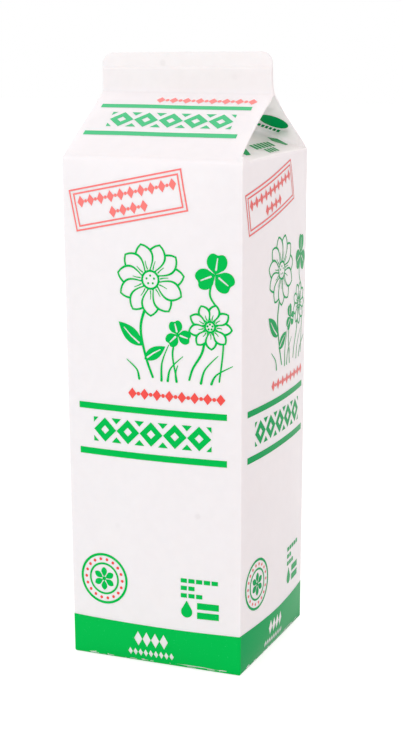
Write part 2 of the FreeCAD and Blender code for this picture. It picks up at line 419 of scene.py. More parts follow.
BAND_TOP = 15.9  # rise of the printed band's upper edge
CREASE_REACH = 1.3  # the levels lie close together within this distance of the shoulder crease
SCORE_END = SCORE_RISE + 0.7
RIDGE_START = RISE_RIDGE - 2
WALL_LEVELS = joined(even(-BASE_RADIUS, BASE_RADIUS, 6), graded(BASE_RADIUS, BAND_TOP, 1.6, 0.5),
                     graded(BAND_TOP, SHOULDER - CREASE_REACH, 4.0),
                     even(SHOULDER - CREASE_REACH, SHOULDER, 5))
ROOF_LEVELS = joined(even(SHOULDER, SHOULDER + CREASE_REACH, 5), even(SHOULDER + CREASE_REACH, SCORE_END, 6),
                     graded(SCORE_END, RIDGE_START, 2.4, 0.6), even(RIDGE_START, RISE_RIDGE, 6))
FIN_LEVELS = joined(even(RISE_RIDGE, RISE_FOLD - 0.6, 5), even(RISE_FOLD - 0.6, RISE_LIP + 0.5, 8),
                    [RISE_ROUND], [RISE_ROUND + LIP_CORNER * math.sin(math.radians(angle))
                                   for angle in even(9, 90, 9)])
EDGE_COLUMNS = (0.93, 0.965, 0.985, 1.0)
COLUMNS = [-share for share in reversed(EDGE_COLUMNS)] + even(-0.88, 0.88, 32) + list(EDGE_COLUMNS)
FLANK_COLUMNS = [0.0, 0.015, 0.04] + even(0.08, 0.84, 14) + even(0.86, 1.0, 10)
ALL_LEVELS = WALL_LEVELS + ROOF_LEVELS[1:] + FIN_LEVELS[1:]
ROOF_SHARES = [(rise - SHOULDER) / (RISE_RIDGE - SHOULDER) for rise in ROOF_LEVELS]  # up the roof's edge


# --- the board's mesh
def side_grid(side):
    """Rows of places over the right or left, from the base to the gusset's inner point."""
    rows = [[side_place(side, share * WALL_EDGE, rise) for share in COLUMNS] for rise in WALL_LEVELS]
    for up in ROOF_SHARES[1:]:
        rows.append([side_place(side, share * WALL_EDGE * (1 - up), SHOULDER + up * GUSSET_SLOPE)
                     for share in COLUMNS])
    return rows


def lip_top_grid():
    """The raw top edge of the lip, from the front board's face to the back board's."""
    rows = []
    for share in COLUMNS:
        halves = []
        for main, own_share in ((FRONT, share), (BACK, -share)):
            outer = on_main(main, own_share, RISE_TOP)
            halves.append(raw_row(outer, Vector((outer.x, 0, outer.z)), Vector((0, 0, 1))))
        rows.append(halves[0] + halves[1][-2::-1])
    return rows


BASE_STEP = 1.8  # level distance over which the rim passes into the hollow
BASE_STEP_START = 0.4  # part of it that lies on the rim
BASE_CREASE = 0.12  # height of the folded base's diagonal creases
BASE_CREASE_WIDTH = 0.8
BASE_CREASE_START = 3  # they grow over this distance from the rim


def base_height(x, y):
    """How far the folded base stands above the ground: nothing on its rim."""
    inside = HALF - BASE_RIM - max(abs(x), abs(y))
    hollow = BASE_HOLLOW * smooth_step((inside + BASE_STEP_START) / BASE_STEP)
    diagonal = abs(abs(x) - abs(y)) / BASE_CREASE_WIDTH
    pressed = BASE_CREASE * math.exp(-diagonal ** 2) * smooth_step(inside / BASE_CREASE_START)
    return hollow + pressed


def base_grid():
    """Square rings from the foot of the walls in to the middle of the base."""
    foot = -BASE_RADIUS
    outline = []
    for main, side in ((FRONT, RIGHT), (BACK, LEFT)):
        outline += [on_main(main, share, foot) for share in COLUMNS]
        outline += turn_row(main, 1, foot)[1:-1]
        outline += [side_place(side, share * WALL_EDGE, foot) for share in COLUMNS]
        outline += turn_row((main + 2) % 4, -1, foot)[-2:0:-1]
    outline.append(outline[0])
    rim = (HALF - BASE_RIM) / (HALF - BASE_RADIUS)
    shares = [1.0, 0.97, 0.94] + even(rim + 0.02, rim - 0.05, 7) + even(rim - 0.08, 0.0, 14)
    rows = []
    for share in shares:
        row = []
        for place in outline:
            x, y = place.x * share, place.y * share
            row.append(Vector((x, y, base_height(x, y) if share < 1 else place.z)))
        rows.append(row)
    return rows


WELD = 0.004  # places closer than this are one place
SLIVER = 0.001  # and faces narrower than this are left out


def add_grid(mesh, rows, flip=False, tone=0):
    """Add a grid of places to a bmesh as faces, in metres. tone is the number of their material."""
    corners = [[mesh.verts.new(place * MM) for place in row] for row in rows]
    for lower, upper in zip(corners, corners[1:]):
        for index in range(len(lower) - 1):
            face = [lower[index], lower[index + 1], upper[index + 1], upper[index]]
            mesh.faces.new(reversed(face) if flip else face).material_index = tone


def add_object(name, data):
    """Add an object to the scene."""
    added = bpy.data.objects.new(name, data)
    bpy.context.scene.collection.objects.link(added)
    return added


def finished_object(name, mesh, *materials):
    """Weld a bmesh's shared edges and make it a smooth object."""
    bmesh.ops.remove_doubles(mesh, verts=mesh.verts, dist=WELD * MM)
    bmesh.ops.dissolve_degenerate(mesh, edges=mesh.edges, dist=SLIVER * MM)
    data = bpy.data.meshes.new(name)
    for face in mesh.faces:
        face.smooth = True
    mesh.to_mesh(data)
    mesh.free()
    for material in materials:
        data.materials.append(material)
    return add_object(name, data)


def board_object(outer, gusset_painted_light):
    """The whole folded board as one closed skin; a second, lighter material in the gussets is painted light.
    """
    mesh = bmesh.new()
    for main in (FRONT, BACK):
        add_grid(mesh, [[on_main(main, share, rise) for share in COLUMNS] for rise in ALL_LEVELS])
        for hand in (1, -1):
            add_grid(mesh, [turn_row(main, hand, rise) for rise in ALL_LEVELS], flip=hand < 0)
            flank = [[flank_place(main, hand, inward, share) for inward in FLANK_COLUMNS]
                     for share in ROOF_SHARES]
            add_grid(mesh, flank, flip=hand < 0, tone=1)
    for side in (RIGHT, LEFT):
        rows = side_grid(side)
        add_grid(mesh, rows[:len(WALL_LEVELS)])
        add_grid(mesh, rows[len(WALL_LEVELS) - 1:], tone=1)
    add_grid(mesh, lip_top_grid())
    add_grid(mesh, base_grid())
    bmesh.ops.remove_doubles(mesh, verts=mesh.verts, dist=WELD * MM)
    bmesh.ops.recalc_face_normals(mesh, faces=mesh.faces)
    return finished_object("carton_board", mesh, outer, gusset_painted_light)


# --- outlines of the print
# A shape is an outline and its ink. A later shape lies over the earlier ones.
def ellipse(centre, radii, count=40):
    """Points round a level ellipse."""
    angles = [2 * math.pi * index / count for index in range(count)]
    return [(centre[0] + radii[0] * math.cos(angle), centre[1] + radii[1] * math.sin(angle))
            for angle in angles]


def circle(centre, radius, count=40):
    return ellipse(centre, (radius, radius), count)


def box_outline(left, low, right, high):
    return [(left, low), (right, low), (right, high), (left, high)]


def rhombus(centre, across, upright):
    """The corners of an upright rhombus, by its two full widths."""
    x, y = centre
    return [(x - across / 2, y), (x, y - upright / 2), (x + across / 2, y), (x, y + upright / 2)]


def placed(points, centre, turn=0.0):
    """Points turned by degrees about their origin and moved to a centre."""
    angle = math.radians(turn)
    return [(centre[0] + (x * math.cos(angle) - y * math.sin(angle)),
             centre[1] + (x * math.sin(angle) + y * math.cos(angle))) for x, y in points]


def placed_shapes(shapes, centre, turn):
    return [(placed(outline, centre, turn), ink) for outline, ink in shapes]


def ring(centre, radius, count, start=0):
    """Places evenly round a centre, the first at start degrees."""
    return [placed([(radius, 0.0)], centre, 360 * index / count + start)[0] for index in range(count)]


def curve_through(knots):
    """A smooth line through knots."""
    steps = 10
    padded = [knots[0], *knots, knots[-1]]
    line = []
    for before, start, end, after in zip(padded, padded[1:], padded[2:], padded[3:]):
        for step in range(steps):
            t = step / steps
            line.append(tuple(
                0.5 * (2 * b + (c - a) * t + (2 * a - 5 * b + 4 * c - d) * t ** 2
                       + (3 * b - a - 3 * c + d) * t ** 3)
                for a, b, c, d in zip(before, start, end, after)))
    return line + [tuple(knots[-1])]


def stroke(line, width, tip):
    """The outline of a line drawn with a round pen that narrows from width to tip."""
    left, right = [], []
    last = len(line) - 1
    for index, (x, y) in enumerate(line):
        before, after = line[max(index - 1, 0)], line[min(index + 1, last)]
        dx, dy = after[0] - before[0], after[1] - before[1]
        length = math.hypot(dx, dy)
        half = (width + (tip - width) * index / last) / 2
        left.append((x - dy / length * half, y + dx / length * half))
        right.append((x + dy / length * half, y - dx / length * half))
    far_end = round_end(line[-2], line[-1], tip / 2)
    near_end = round_end(line[1], line[0], width / 2)
    return right + far_end + left[::-1] + near_end


def round_end(before, end, radius):
    """The points inside a half circle that closes a line's end."""
    steps = 6
    heading = math.atan2(end[1] - before[1], end[0] - before[0])
    return [(end[0] + radius * math.cos(heading + turn), end[1] + radius * math.sin(heading + turn))
            for turn in (math.pi * (step / steps - 0.5) for step in range(1, steps))]


def petal(length, width, start, lean=1.25, point=0.75, count=14):
    """A petal along +X. lean over 1 widens its far half, and point near 1 sharpens its ends."""
    upper = [(start + length * t, width / 2 * math.sin(math.pi * t ** lean) ** point)
             for t in even(0.0, 1.0, count)]
    return [(x, -y) for x, y in upper] + upper[-2:0:-1]


def leaf(length, width):
    """A pointed leaf along +X from the origin."""
    return petal(length, width, 0.0, lean=0.85, point=0.9, count=12)


def drop(height, width):
    """A drop with its point up, its round part about the origin."""
    radius = width / 2
    shoulder = math.radians(25)
    angles = even(math.pi - shoulder, 2 * math.pi + shoulder, 16)
    arc = [(radius * math.cos(angle), radius * math.sin(angle)) for angle in angles]
    return arc + [(0.0, height - radius)]


def lobe(reach):
    """One heart-shaped part of a clover leaf, along +X with its point at the origin."""
    half, count = math.radians(58), 30
    rim = []
    for index in range(1, count):
        angle = half * (2 * index / count - 1)
        notch = 0.14 * math.exp(-(angle / 0.2) ** 2)
        rim.append((angle, (math.cos(angle * 1.5) ** 0.45) * (1 - notch)))
    rim += [(half, 0.02), (0.0, 0.0)]  # close it at its point
    return [(reach * radius * math.cos(angle), reach * radius * math.sin(angle))
            for angle, radius in rim]


# --- the generic print
# Painted light: the side and gusset inks are darker copies of the green and rose, as painted shade,
# and the roof inks are lighter copies of them, as painted sheen.
GREEN, SHADED_SIDE_GREEN, SHEEN_ROOF_GREEN, SHADED_GUSSET_GREEN = "green", "side_green_painted_shade", "roof_green_painted_sheen", "gusset_green_painted_shade"
RED, ROSE, SHADED_SIDE_ROSE, SHEEN_ROOF_ROSE = "red", "rose", "side_rose_painted_shade", "roof_rose_painted_sheen"
# The walls' inks swap to their painted-shade copies on the sides, and to painted-sheen copies on the roof.
SIDE_PAINTED_SHADE_INKS = {GREEN: SHADED_SIDE_GREEN, RED: SHADED_SIDE_ROSE, ROSE: SHADED_SIDE_ROSE}
ROOF_PAINTED_SHEEN_INKS = {GREEN: SHEEN_ROOF_GREEN, ROSE: SHEEN_ROOF_ROSE}
BARE = None  # takes the ink away again
# Display colours from 0 to 255: each ink's, and the flecks where the board shows through.
# The side and gusset colours are the green and rose with painted shade, the roof ones with painted sheen.
INK_COLOURS = {
    GREEN: ((0, 191, 80), (50, 203, 111)),
    SHADED_SIDE_GREEN: ((0, 163, 88), (50, 186, 120)),
    SHEEN_ROOF_GREEN: ((86, 201, 140), (120, 212, 162)),
    SHADED_GUSSET_GREEN: ((0, 158, 84), (40, 176, 108)),
    RED: ((243, 86, 80), (250, 128, 126)),
    ROSE: ((250, 130, 126), (250, 162, 158)),
    SHADED_SIDE_ROSE: ((232, 120, 118), (236, 158, 155)),
    SHEEN_ROOF_ROSE: ((252, 150, 146), (252, 178, 173)),
}
INK_LIFT = 0.035  # the print lies this far off the board
SIDE_SHIFT = (-0.2, 0.3)  # the print sits a little differently on the sides
PEN = 0.8  # width of the meadow's lines
GROUND = 114.5  # rise at which the meadow's stems and stalks end
GRASS_FOOT = 113.5


def daisy(centre, reach, petals, turn):
    """A flower in outline: overlapping petals round a dotted eye."""
    eye = reach * 0.27
    root = eye * 0.6        # the petals start under the eye
    length, width = reach - root, reach * 0.56
    whole = petal(length, width, root)
    inner = petal(length - 1.7 * PEN, width - 2 * PEN, root + 0.75 * PEN)
    vein = [(eye + 0.4, 0.0), (eye + reach * 0.13, 0.12), (eye + reach * 0.25, 0.0)]
    angles = [turn + 360 * index / petals for index in range(petals)]
    shapes = []
    for angle in angles:
        shapes += [(placed(whole, centre, angle), GREEN), (placed(inner, centre, angle), BARE)]
    shapes += [(stroke(placed(vein, centre, angle), 0.5, 0.25), GREEN) for angle in angles]
    shapes += [(circle(centre, eye), GREEN), (circle(centre, eye - PEN), BARE)]
    return shapes + [(circle(seed, 0.42, 12), GREEN) for seed in ring(centre, eye * 0.42, 5, 20)]


def clover(centre, reach, turn, stalk):
    """A solid three-part leaf with bare middle veins, on a stalk."""
    ways = [turn + way for way in (90, 210, 330)]
    vein = [(reach * share, 0.0) for share in (0.22, 0.48, 0.72)]
    shapes = [(stroke(curve_through(stalk), PEN, PEN * 0.8), GREEN)]
    shapes += [(placed(lobe(reach), centre, way), GREEN) for way in ways]
    return shapes + [(stroke(placed(vein, centre, way), 0.75, 0.45), BARE) for way in ways]


def grass(foot, tip, bend):
    """One blade from its foot to its tip, bent sideways."""
    middle = ((foot + tip[0]) / 2 + bend, (GRASS_FOOT + tip[1]) / 2)
    return stroke(curve_through([(foot, GRASS_FOOT), middle, tip]), 1.0, 0.3)


def meadow():
    """The design that fills the picture's place: flowers, clover and grass."""
    large_stem = curve_through([(1.0, 146), (-3.5, 134), (-2.0, 123), (1.0, GROUND)])
    small_stem = curve_through([(22, 133), (20.5, 125), (17.0, 119), (15.5, GROUND)])
    shapes = [(stroke(large_stem, 1.1, 0.9), GREEN), (stroke(small_stem, 1.0, 0.8), GREEN)]
    upper_leaf, lower_leaf = ((-3.3, 126), 138), ((-2.3, 121), 32)
    upper_vein, lower_vein = [(1.5, 0), (5.5, 0.3), (9.5, 0)], [(1.5, 0), (4.5, 0.2), (7.5, 0)]
    shapes += [(placed(leaf(12.5, 5.4), *upper_leaf), GREEN), (placed(leaf(10.0, 4.6), *lower_leaf), GREEN)]
    for vein, leaf_place in ((upper_vein, upper_leaf), (lower_vein, lower_leaf)):
        shapes.append((stroke(placed(vein, *leaf_place), 0.7, 0.4), BARE))
    for foot, tip, bend in ((4.5, (7.5, 127), -1.2), (7.0, (13.0, 123), -1.8), (20.0, (26.5, 124), -1.6),
                            (24.0, (32.0, 120.5), -2.0), (-4.5, (-9.5, 120.5), 1.5),
                            (10.5, (11.0, 119.5), -0.6)):
        shapes.append((grass(foot, tip, bend), GREEN))
    large_stalk = [(25.0, 153), (23.5, 146), (27.5, 139), (28.5, 128), (27.0, GROUND)]
    shapes += clover((25.5, 153.5), 8.2, -8, large_stalk)
    shapes += clover((11.0, 131.0), 5.6, 14, [(11.0, 131), (9.0, 124), (10.5, GROUND)])
    return shapes + daisy((0.5, 150.5), 13.6, 11, 8) + daisy((23.5, 134.5), 8.6, 9, -6)


def emblem_row(left, right, middle, height, count):
    """Bold rhombi with bare hearts, side by side, and solid half rhombi above and below their joints."""
    pitch = (right - left) / count
    half, deep = pitch * 0.21, height * 0.23
    shapes = []
    for index in range(count):
        centre = (left + pitch * (index + 0.5), middle)
        shapes.append((rhombus(centre, pitch * 0.98, height), GREEN))
        shapes.append((rhombus(centre, pitch * 0.36, height * 0.36), BARE))
    for index in range(count + 1):
        x = left + pitch * index
        start, end = max(x - half, left), min(x + half, right)
        for way in (-1, 1):
            edge = middle + way * height / 2
            shapes.append(([(start, edge), (x, edge - way * deep), (end, edge)], GREEN))
    return shapes


def small_row(left, right, middle, height, ink, count):
    """Small rhombi and dots in turn."""
    pitch = (right - left) / count
    shapes = []
    for index in range(count):
        centre = (left + pitch * (index + 0.5), middle)
        mark = circle(centre, pitch * 0.3, 14) if index % 2 else rhombus(centre, pitch * 1.4, height)
        shapes.append((mark, ink))
    return shapes


def stamp():
    """A slanting double frame with two rows of marks."""
    across, upright, line, gap = 46.0, 15.3, 0.6, 0.9
    shapes = []
    for inset, ink in ((0.0, ROSE), (line, BARE), (line + gap, ROSE), (2 * line + gap, BARE)):
        x, y = across / 2 - inset, upright / 2 - inset
        shapes.append((box_outline(-x, -y, x, y), ink))
    shapes += small_row(-19.8, 19.8, 2.7, 4.4, ROSE, 19) + small_row(-7.5, 7.5, -2.9, 4.4, ROSE, 7)
    return placed_shapes(shapes, (-8.7, 178.5), 11.7)


def seal():
    """A round seal: two rings, a ring of dots and a small flower."""
    centre = (-21.0, 32.7)
    rings = ((10.3, GREEN), (9.3, BARE), (6.5, GREEN), (5.7, BARE))
    shapes = [(circle(centre, radius, 56), ink) for radius, ink in rings]
    shapes += [(circle(dot, 0.62, 12), RED) for dot in ring(centre, 7.95, 18)]
    shapes += [(placed(petal(4.0, 2.5, 0.7), centre, 60 * index + 30), GREEN) for index in range(6)]
    return shapes + [(circle(centre, 0.8, 16), GREEN)]


def facts():
    """Three rows of short dashes over a drop and two bold bars."""
    left, pitch, dash, thick = 11.6, 3.1, 2.5, 1.7
    shapes = []
    for dashes, low in ((5, 35.6), (2, 32.6), (3, 29.6)):
        for start in (left + pitch * index for index in range(dashes)):
            shapes.append((box_outline(start, low, start + dash, low + thick), GREEN))
    shapes.append((placed(drop(6.9, 4.6), (left + 2.4, 23.9)), GREEN))
    bars = [box_outline(18.2, low, 26.9, high) for low, high in ((25.4, 28.0), (21.6, 24.2))]
    return shapes + [(bar, GREEN) for bar in bars]


def worn_edge():
    """Slivers along the base crease where the ink has come off, and one long scratch."""
    chance = random.Random(11)
    shapes = []
    for _ in range(26):
        middle = -WALL_EDGE + 2.3 + chance.random() * (2 * WALL_EDGE - 8)
        level = 0.35 + 0.85 * chance.random()
        half_length = 0.3 + 1.5 * chance.random() ** 2
        half_height = 0.12 + 0.14 * chance.random()
        shapes.append((ellipse((middle, level), (half_length, half_height), 10), BARE))
    scratch = [(8.4, 1.30), (14.0, 1.12), (20.0, 1.10), (27.5, 1.02), (20.0, 1.50), (14.0, 1.52)]
    return shapes + [(scratch, BARE)]


def band():
    """The band, its bare marks and its worn lower edge."""
    marks = [rhombus((-6.7 + 3.65 * index, 10.0), 3.5, 6.2) for index in range(4)]
    marks += [rhombus((-10.4 + 2.2 * index, 4.1), 1.9, 3.2) for index in range(9)]
    field = box_outline(-WALL_EDGE, -BASE_RADIUS, WALL_EDGE, BAND_TOP)
    return [(field, GREEN)] + [(mark, BARE) for mark in marks] + worn_edge()


def upright_bars(left, right, low, high, count):
    """Short upright bars side by side, in the gusset's green with painted shade."""
    pitch = (right - left) / count
    half = pitch * 0.34
    middles = [left + pitch * (index + 0.5) for index in range(count)]
    return [(box_outline(middle - half, low, middle + half, high), SHADED_GUSSET_GREEN) for middle in middles]


def triangle_print():
    """The marks on a gusset's triangle: two pointers and two rows of bars, in greens with painted shade."""
    pointer = [(15.5, 8.4), (20.4, 4.2), (23.6, 4.5), (23.6, 9.6), (17.9, 11.4)]
    mirrored = [(-0.2 - x, y - 1.2) for x, y in pointer]
    rows = upright_bars(-10.2, 10.7, 4.9, 8.3, 6) + upright_bars(-5.6, 6.0, 1.4, 4.1, 4)
    return [[(pointer, SHADED_SIDE_GREEN), (mirrored, SHADED_SIDE_GREEN)] + rows]


def flank_print():
    """The marks on a gusset's flank: a solid oval, and a row of bars along its lower side."""
    # The gusset's green is darkened as painted shade.
    oval = (placed(ellipse((0, 0), (6.4, 3.5)), (23.2, 5.6), 37), SHADED_GUSSET_GREEN)
    return [[oval] + placed_shapes(upright_bars(-4.9, 4.9, -1.0, 1.0, 6), (19.1, 9.1), 45)]


def wall_print():
    """The groups of shapes on every wall. Each group is cut and laid on its own."""
    title = [(box_outline(-30.2, 100.1, 29.9, 102.5), GREEN), (box_outline(-30.2, 82.35, 29.9, 84.85), GREEN)]
    title += emblem_row(-24.0, 24.0, 92.5, 9.4, 5)
    return [stamp(), meadow(), small_row(-8.7, 28.8, 107.7, 4.3, RED, 15), title, seal(), facts(), band()]


def roof_print():
    """The groups on each roof panel, measured up the slope from the shoulder."""
    title = [(box_outline(-31.9, 13.9, 28.2, 16.3), GREEN), (box_outline(-30.9, 30.55, 29.2, 32.7), GREEN)]
    title += emblem_row(-24.6, 24.6, 23.5, 8.6, 5)
    return [title, small_row(-9.3, 29.7, 35.7, 3.4, ROSE, 15)]


# --- laying the print
def anticlockwise(points):
    """An outline's points, in the order that the cutter takes."""
    area = sum(x0 * y1 - x1 * y0 for (x0, y0), (x1, y1) in zip(points, points[1:] + points[:1]))
    return points if area > 0 else points[::-1]


def cut_shapes(shapes, to_grid, columns, rows):
    """Cut a group's shapes at the panel's grid lines, in the grid's own coordinates.

    Returns the points and, for each ink, its triangles.
    """
    points, faces, edges = [], [], []
    for outline, _ in shapes:
        faces.append(list(range(len(points), len(points) + len(outline))))
        points += anticlockwise([to_grid(*point) for point in outline])
    left, right = min(x for x, _ in points), max(x for x, _ in points)
    low, high = min(y for _, y in points), max(y for _, y in points)
    margin, nearest, inside_only = 0.01, 1e-5, 1
    lines = [((x, low - margin), (x, high + margin)) for x in columns if left < x < right]
    lines += [((left - margin, y), (right + margin, y)) for y in rows if low < y < high]
    for line in lines:
        edges.append((len(points), len(points) + 1))
        points += line
    places, _, triangles, _, _, sources = delaunay_2d_cdt(
        [Vector(point) for point in points], edges, faces, inside_only, nearest, True)
    inks = {}
    for triangle, source in zip(triangles, sources):
        ink = shapes[max(source)][1] if source else BARE
        if ink:
            inks.setdefault(ink, []).append(triangle)
    return places, inks


def lay_print(meshes, groups, grid, place_at, painted_light_inks=None):
    """Lay groups of shapes on a surface, an ink to a mesh; the last argument swaps in painted-light copies.
    """
    for shapes in groups:
        places, inks = cut_shapes(shapes, *grid)
        for ink, triangles in inks.items():
            mesh = meshes[painted_light_inks.get(ink, ink) if painted_light_inks else ink]
            corners = {}
            for triangle in triangles:
                for index in triangle:
                    if index not in corners:
                        corners[index] = mesh.verts.new(place_at(*places[index]) * MM)
                mesh.faces.new([corners[index] for index in triangle])


def wall_grid(spread, shift):
    """A wall's coordinates as shares of its width, with its columns and levels.

    spread takes the wall's own spreading off the print, and shift moves the print.
    """
    def to_grid(across, rise):
        if rise > 0:
            rise += shift[1]
        if abs(across) < WALL_EDGE:
            across = (across + shift[0]) / (1 + spread)
        return across / WALL_EDGE, rise
    return to_grid, COLUMNS, WALL_LEVELS


def roof_grid(side):
    """The same for a roof panel, whose width changes, and whose print is measured from the shoulder."""
    def to_grid(across, slope):
        rise = SHOULDER + slope
        return across / main_edge(side, 1 if across > 0 else -1, rise), rise
    return to_grid, COLUMNS, ROOF_LEVELS


def triangle_grid():
    """The same for a gusset's triangle. Its print is measured across, and up the slope."""
    def to_grid(across, slope):
        share = slope / GUSSET_SLOPE
        return across / (WALL_EDGE * (1 - share)), share
    return to_grid, COLUMNS, ROOF_SHARES


def flank_grid_of_print():
    """The same for a gusset's flank. Its print is measured along the roof's edge, and in from it."""
    edge = Vector((0, HALF, ROOF_RISE))
    crease = Vector((GUSSET_GAP / 2 - HALF, HALF, GUSSET_LIFT))
    length = edge.length
    crease_along = crease.dot(edge) / length
    crease_in = math.sqrt(crease.length_squared - crease_along ** 2)

    def to_grid(along, inside):
        past = inside / crease_in
        share = past + (along - past * crease_along) / length
        return past / share, share
    return to_grid, FLANK_COLUMNS, ROOF_SHARES


def print_main(meshes, main):
    """The print on the front or the back, its roof panel, its two creases and its two flanks."""
    def printed(share, rise):
        return on_main(main, share, rise, INK_LIFT)

    lay_print(meshes, wall_print(), wall_grid(SPREAD, (0, 0)), printed)
    # The roof panel's green and rose are copies with painted sheen.
    lay_print(meshes, roof_print(), roof_grid(main), printed, ROOF_PAINTED_SHEEN_INKS)
    for hand in (1, -1):
        rows = [turn_row(main, hand, rise, INK_LIFT) for rise in WALL_LEVELS if rise <= BAND_TOP + 1e-6]
        rows.append([turn_row(main, hand, BAND_TOP + SIDE_SHIFT[1] * step / TURN_STEPS, INK_LIFT)[step]
                     for step in range(TURN_STEPS + 1)])
        add_grid(meshes[GREEN], rows, flip=hand < 0)
        lay_print(meshes, flank_print(), flank_grid_of_print(),
                  lambda inward, share: flank_lifted(main, hand, inward, share, INK_LIFT))


def print_side(meshes, side):
    """The print on the right or left wall, and on the gusset's triangle above it."""
    # The side's inks are copies with painted shade.
    lay_print(meshes, wall_print(), wall_grid(0.0, SIDE_SHIFT),
              lambda share, rise: side_lifted(side, share * WALL_EDGE, rise, INK_LIFT), SIDE_PAINTED_SHADE_INKS)
    lay_print(meshes, triangle_print(), triangle_grid(),
              lambda part, share: side_lifted(side, part * WALL_EDGE * (1 - share),
                                              SHOULDER + share * GUSSET_SLOPE, INK_LIFT))


def print_objects(materials):
    """All the print, one object for each ink."""
    meshes = {ink: bmesh.new() for ink in materials}
    for main in (FRONT, BACK):
        print_main(meshes, main)
    for side in (RIGHT, LEFT):
        print_side(meshes, side)
    return [finished_object(f"print_{ink}", mesh, materials[ink]) for ink, mesh in meshes.items()]


# --- materials
WHITE = (1, 1, 1, 1)
FIN_PAINTED_SHADE = (0.96, 0.955, 0.945, 1)  # painted shade: the fin is toned a little darker than the board
FIN_SHADE_EDGE = 0.01  # half the height, as a share of the carton's, where it changes
SMUDGE_REACH = 1.5  # from its middle
SMUDGE_CORE = 0.45  # the smudge is even within this share of its reach
SMUDGES = (((18.5, -36.6, 62.4), 0.94), ((-14.5, -36.8, 55.2), 0.975),
           ((-9.9, -0.5, 225.7), 0.94), ((19.0, -0.9, 220.9), 0.975))
BUMPS = ((60.0, 2.0, 0.05, 0.6), (1500.0, 3.0, 0.06, 0.1))  # the noise's scale and detail, strength, height


def set_inputs(tree, node, values):
    """Give a node's inputs their values. A value that is another node's output is linked."""
    for name, value in values.items():
        if isinstance(value, bpy.types.NodeSocket):
            tree.links.new(value, node.inputs[name])
        else:
            node.inputs[name].default_value = value


def add_node(tree, kind, values, **settings):
    """Add a shader node with its inputs and its settings, and return its outputs."""
    node = tree.nodes.new("ShaderNode" + kind)
    for name, setting in settings.items():
        setattr(node, name, setting)
    set_inputs(tree, node, values)
    return node.outputs


def new_material(name):
    """A material, its node tree and its Principled shader."""
    material = bpy.data.materials.new(name)
    material.use_nodes = True
    return material, material.node_tree, material.node_tree.nodes["Principled BSDF"]


def own_place(tree):
    """The place on the object, in metres."""
    return add_node(tree, "TexCoord", {})["Object"]


def quotient(tree, value, divisor):
    return add_node(tree, "Math", {0: value, 1: divisor}, operation="DIVIDE")[0]


def add_noise(tree, scale, detail):
    """Noise in the object's own coordinates."""
    return add_node(tree, "TexNoise", {"Scale": scale, "Detail": detail, "Vector": own_place(tree)})["Fac"]


def add_ramp(tree, value, stops):
    """A colour ramp over a value. Each stop is a place and a colour."""
    ramp = tree.nodes.new("ShaderNodeValToRGB")
    first, last = ramp.color_ramp.elements
    first.position, first.color = stops[0]
    last.position, last.color = stops[-1]
    for position, colour in stops[1:-1]:
        ramp.color_ramp.elements.new(position).color = colour
    set_inputs(tree, ramp, {"Fac": value})
    return ramp.outputs["Color"]


def add_bumps(tree, shader, bumps):
    """Chain bumps, each a noise's scale and detail, a strength and a height in millimetres."""
    normal = {}
    for scale, detail, strength, height in bumps:
        bump = add_node(tree, "Bump", {"Strength": strength, "Distance": height * MM,
                                       "Height": add_noise(tree, scale, detail), **normal})
        normal = {"Normal": bump["Normal"]}
    set_inputs(tree, shader, normal)


def srgb(red, green, blue):
    """A display colour, 0 to 255, as the linear colour that a shader takes."""
    def linear(value):
        value /= 255
        return value / 12.92 if value <= 0.04045 else ((value + 0.055) / 1.055) ** 2.4
    return (linear(red), linear(green), linear(blue), 1.0)


def grey(tone):
    return (tone, tone, tone, 1)


def multiplied(tree, first, second):
    """The product of two colours."""
    inputs = {"Fac": 1.0, "Color1": first, "Color2": second}
    return add_node(tree, "MixRGB", inputs, blend_type="MULTIPLY")["Color"]


def shaded_fin(tree):
    """White up to the fin's foot, and painted shade above it."""
    parts = add_node(tree, "SeparateXYZ", {"Vector": own_place(tree)})
    foot = FIN_FOOT / TOP
    return add_ramp(tree, quotient(tree, parts["Z"], TOP * MM),
                    [(0.0, WHITE), (foot - FIN_SHADE_EDGE, WHITE), (foot + FIN_SHADE_EDGE, FIN_PAINTED_SHADE)])


def smudge_tone(tree, place, tone):
    """A faint round smudge: a tone near a place, and white away from it."""
    inputs = {0: own_place(tree), 1: Vector(place) * MM}
    distance = add_node(tree, "VectorMath", inputs, operation="DISTANCE")["Value"]
    return add_ramp(tree, quotient(tree, distance, SMUDGE_REACH * MM),
                    [(0.0, grey(tone)), (SMUDGE_CORE, grey(tone)), (1.0, WHITE)])


def board_material(name, dark, light, scatter):
    """White coated board: faint mottling, a soft gloss and the fibres' fine unevenness.

    Light spreads inside it for about scatter millimetres.
    """
    material, tree, shader = new_material(name)
    mottle = add_ramp(tree, add_noise(tree, 260.0, 4.0), [(0.3, dark), (0.7, light)])
    # The fin above its foot is darkened: painted shade.
    colour = multiplied(tree, mottle, shaded_fin(tree))
    for place, tone in SMUDGES:
        colour = multiplied(tree, colour, smudge_tone(tree, place, tone))
    gloss = add_ramp(tree, add_noise(tree, 90.0, 3.0), [(0.3, grey(0.38)), (0.7, grey(0.46))])
    set_inputs(tree, shader, {"Base Color": colour, "Roughness": gloss, "Subsurface Weight": 0.8,
                              "Subsurface Radius": (1.0, 0.95, 0.92), "Subsurface Scale": scatter * MM})
    add_bumps(tree, shader, BUMPS)
    return material


def ink_material(name, full, thin):
    """Printed ink: nearly even, with fine light flecks where the board shows through."""
    material, tree, shader = new_material(name)
    colour = add_ramp(tree, add_noise(tree, 1700.0, 2.0), [(0.24, thin), (0.32, full), (1.0, full)])
    set_inputs(tree, shader, {"Base Color": colour, "Roughness": 0.28, "IOR": 1.11})
    add_bumps(tree, shader, BUMPS[:1])
    return material


